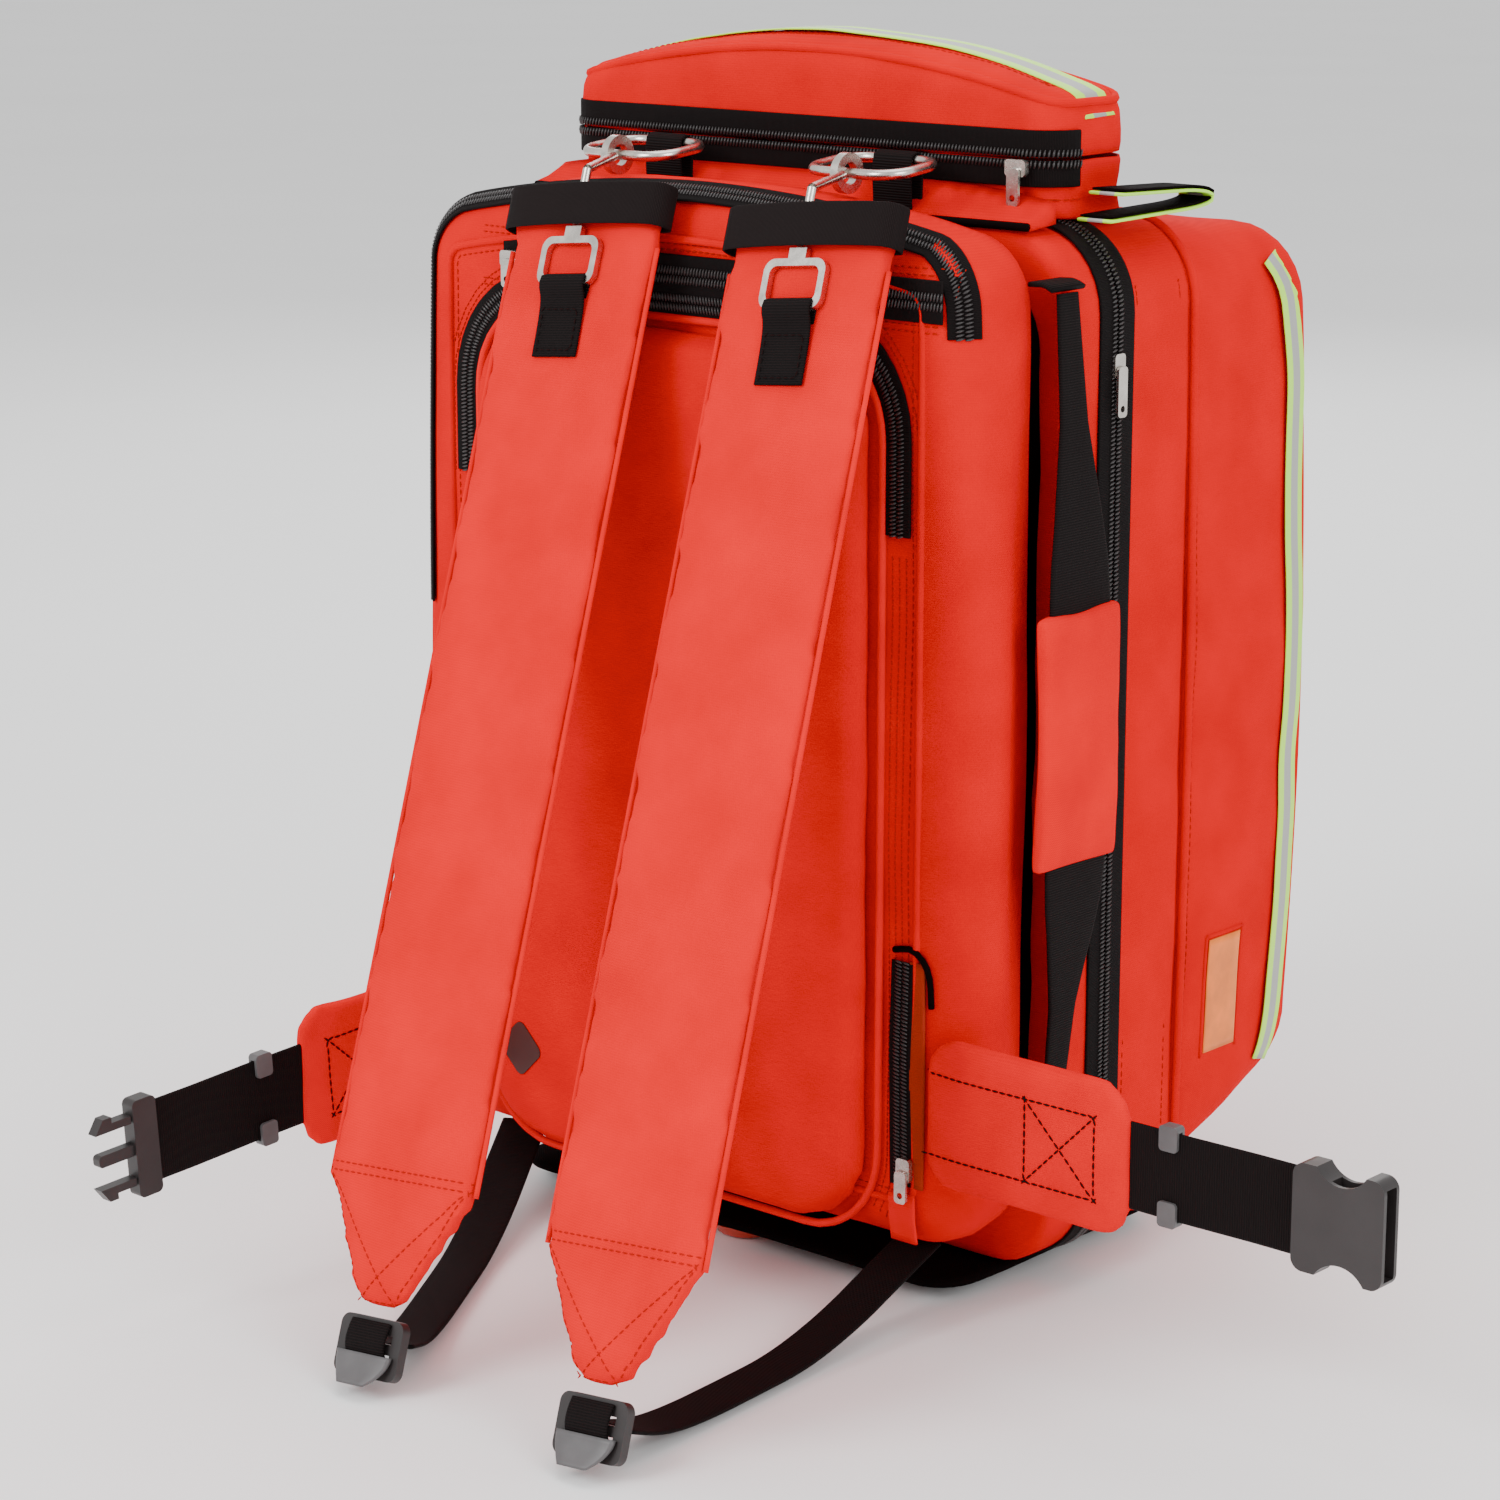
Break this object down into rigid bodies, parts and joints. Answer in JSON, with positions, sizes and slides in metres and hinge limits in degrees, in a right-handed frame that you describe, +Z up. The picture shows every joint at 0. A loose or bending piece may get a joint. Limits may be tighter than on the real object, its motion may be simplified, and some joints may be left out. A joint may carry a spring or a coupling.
{
  "type": "trauma backpack",
  "caption": "Clam-shell rescue backpack with rear compartment, top pocket, snap-hooked padded shoulder straps, hip belt and side handles.",
  "frame": {"origin": "on the floor under the centre of the middle foot, on the centre plane of the bag", "axes": "+Z up, harness side faces -Y, main cover faces +Y, +X is the side of the female buckle"},
  "size_m": [0.6255, 0.5423, 0.601],
  "materials": {
    "red_fabric": "woven polyester twill",
    "black_fabric": "woven webbing",
    "zip_chain": "nylon coil",
    "reflective": "fluorescent tape with silver centre",
    "label_plastic": "glossy film",
    "foot_rubber": "glossy moulded",
    "patch_rubber": "moulded",
    "frame_plastic": "sheet",
    "stay_aluminium": "satin",
    "buckle_plastic": "moulded acetal",
    "nickel_steel": "nickel plated"
  },
  "bodies": {
    "pack": {"main_shell": "red_fabric", "main_zip_chain": "zip_chain", "frame_sheet": "frame_plastic", "frame_stays": "stay_aluminium", "joining_gusset": "black_fabric", "base_panel": "black_fabric", "feet": "foot_rubber", "rear_panel": "red_fabric", "rear_gusset": "red_fabric", "back_pad": "red_fabric", "rear_zip_chains": "zip_chain", "patch": "patch_rubber", "top_tub": "red_fabric", "top_zip_chain": "zip_chain", "band_anchors": "black_fabric", "ring_anchors": "black_fabric"},
    "cover": {"cover_gusset": "red_fabric", "front_pocket": "red_fabric", "label_window": "label_plastic", "pocket_tapes": "reflective"},
    "lid": {"top_lid": "red_fabric"},
    "reflective_tab": {"reflective_tab": "reflective"},
    "left_handle": {"handle_band_left": "black_fabric", "handle_grip_left": "red_fabric"},
    "left_ring": {"d_ring_left": "nickel_steel"},
    "left_strap": {"strap_pad_left": "red_fabric", "elastic_band_left": "black_fabric", "snap_hook_left": "nickel_steel", "swivel_loop_left": "nickel_steel", "sewn_tab_left": "black_fabric", "lower_web_left": "black_fabric"},
    "left_lock": {"ladder_lock_left": "buckle_plastic"},
    "left_belt": {"hip_wing_left": "red_fabric", "belt_web_left": "black_fabric", "buckle_male": "buckle_plastic"},
    "left_keeper": {"keeper_left": "buckle_plastic"},
    "right_handle": {"handle_band_right": "black_fabric", "handle_grip_right": "red_fabric"},
    "right_ring": {"d_ring_right": "nickel_steel"},
    "right_strap": {"strap_pad_right": "red_fabric", "elastic_band_right": "black_fabric", "snap_hook_right": "nickel_steel", "swivel_loop_right": "nickel_steel", "sewn_tab_right": "black_fabric", "lower_web_right": "black_fabric"},
    "right_lock": {"ladder_lock_right": "buckle_plastic"},
    "right_belt": {"hip_wing_right": "red_fabric", "belt_web_right": "black_fabric", "buckle_female": "buckle_plastic"},
    "right_keeper": {"keeper_right": "buckle_plastic"},
    "lower_prong": {"prong_lower": "buckle_plastic"},
    "upper_prong": {"prong_upper": "buckle_plastic"},
    "window_slider": {"window_slider": "nickel_steel"},
    "window_pull": {"window_pull": "nickel_steel"},
    "top_slider": {"top_slider": "nickel_steel"},
    "top_pull": {"top_pull": "nickel_steel"},
    "slot_slider": {"slot_slider": "nickel_steel"},
    "slot_pull": {"slot_pull": "nickel_steel"},
    "main_slider": {"main_slider": "nickel_steel"},
    "main_pull": {"main_pull": "nickel_steel"}
  },
  "joints": [
    {"name": "cover_hinge", "type": "hinge", "parent": "pack", "child": "cover", "pos_m": [-0.184, 0.057, 0.269], "axis": [0, 0, 1], "range_deg": [0, 95]},
    {"name": "lid_hinge", "type": "hinge", "parent": "pack", "child": "lid", "pos_m": [0, 0.103, 0.554], "axis": [-1, 0, 0], "range_deg": [0, 110]},
    {"name": "tab_hinge", "type": "hinge", "parent": "pack", "child": "reflective_tab", "pos_m": [0.172, 0.05, 0.5253], "axis": [1, 0, 0], "range_deg": [0, 120]},
    {"name": "left_handle_swing", "type": "hinge", "parent": "pack", "child": "left_handle", "pos_m": [-0.19, 0.008, 0.289], "axis": [0, 0, 1], "range_deg": [-15, 15]},
    {"name": "left_ring_tilt", "type": "hinge", "parent": "pack", "child": "left_ring", "pos_m": [-0.074, 0.025, 0.551], "axis": [1, 0, 0], "range_deg": [-3, 3]},
    {"name": "left_strap_swing", "type": "hinge", "parent": "pack", "child": "left_strap", "pos_m": [-0.135, -0.025, 0.035], "axis": [-0.1183, -0.0237, -0.9927], "range_deg": [-4, 6]},
    {"name": "left_lock_tilt", "type": "hinge", "parent": "left_strap", "child": "left_lock", "pos_m": [0.00738, -0.26752, 0.03032], "axis": [-0.9955, -0.0363, -0.0878], "range_deg": [0, 35]},
    {"name": "left_belt_swing", "type": "hinge", "parent": "pack", "child": "left_belt", "pos_m": [-0.135, -0.059, 0.101], "axis": [0, 0, 1], "range_deg": [-84, 2]},
    {"name": "left_keeper_slide", "type": "slide", "parent": "left_belt", "child": "left_keeper", "axis": [-0.0348, -0.997, -0.0698], "range_m": [-0.015, 0.055]},
    {"name": "right_handle_swing", "type": "hinge", "parent": "pack", "child": "right_handle", "pos_m": [0.19, 0.008, 0.289], "axis": [0, 0, 1], "range_deg": [-15, 15]},
    {"name": "right_ring_tilt", "type": "hinge", "parent": "pack", "child": "right_ring", "pos_m": [0.074, 0.025, 0.551], "axis": [1, 0, 0], "range_deg": [-3, 3]},
    {"name": "right_strap_swing", "type": "hinge", "parent": "pack", "child": "right_strap", "pos_m": [0.135, -0.025, 0.035], "axis": [-0.1183, 0.0237, 0.9927], "range_deg": [-4, 6]},
    {"name": "right_lock_tilt", "type": "hinge", "parent": "right_strap", "child": "right_lock", "pos_m": [0.14938, -0.26752, 0.03032], "axis": [-0.9955, -0.0363, -0.0878], "range_deg": [0, 35]},
    {"name": "right_belt_swing", "type": "hinge", "parent": "pack", "child": "right_belt", "pos_m": [0.16, -0.057, 0.116], "axis": [0, 0, 1], "range_deg": [-70, 0]},
    {"name": "right_keeper_slide", "type": "slide", "parent": "right_belt", "child": "right_keeper", "axis": [1, 0, 0], "range_m": [-0.015, 0.055]},
    {"name": "lower_prong_flex", "type": "hinge", "parent": "left_belt", "child": "lower_prong", "pos_m": [-0.14292, -0.28579, 0.06909], "axis": [-0.9994, 0.0349, 0], "range_deg": [0, 8], "stiffness_Nm_per_rad": 0.3},
    {"name": "upper_prong_flex", "type": "hinge", "parent": "left_belt", "child": "upper_prong", "pos_m": [-0.143, -0.28802, 0.10101], "axis": [0.9994, -0.0349, 0], "range_deg": [0, 8], "stiffness_Nm_per_rad": 0.3},
    {"name": "window_slider_slide", "type": "slide", "parent": "pack", "child": "window_slider", "axis": [1, 0, 0], "range_m": [0, 0.26]},
    {"name": "window_pull_flip", "type": "hinge", "parent": "window_slider", "child": "window_pull", "pos_m": [-0.106, -0.059, 0.497], "axis": [-1, 0, 0], "range_deg": [0, 25]},
    {"name": "top_slider_slide", "type": "slide", "parent": "pack", "child": "top_slider", "axis": [-1, 0, 0], "range_m": [0, 0.276]},
    {"name": "top_pull_flip", "type": "hinge", "parent": "top_slider", "child": "top_pull", "pos_m": [0.138, 0.032, 0.55], "axis": [-1, 0, 0], "range_deg": [0, 60]},
    {"name": "slot_slider_slide", "type": "slide", "parent": "pack", "child": "slot_slider", "axis": [0, 0, 1], "range_m": [0, 0.095]},
    {"name": "slot_pull_flip", "type": "hinge", "parent": "slot_slider", "child": "slot_pull", "pos_m": [0.15, -0.059, 0.082], "axis": [-1, 0, 0], "range_deg": [0, 60]},
    {"name": "main_slider_slide", "type": "slide", "parent": "pack", "child": "main_slider", "axis": [0, 0, -1], "range_m": [0, 0.34]},
    {"name": "main_pull_flip", "type": "hinge", "parent": "main_slider", "child": "main_pull", "pos_m": [0.1873, 0.054, 0.459], "axis": [0, -1, 0], "range_deg": [0, 60]}
  ]
}
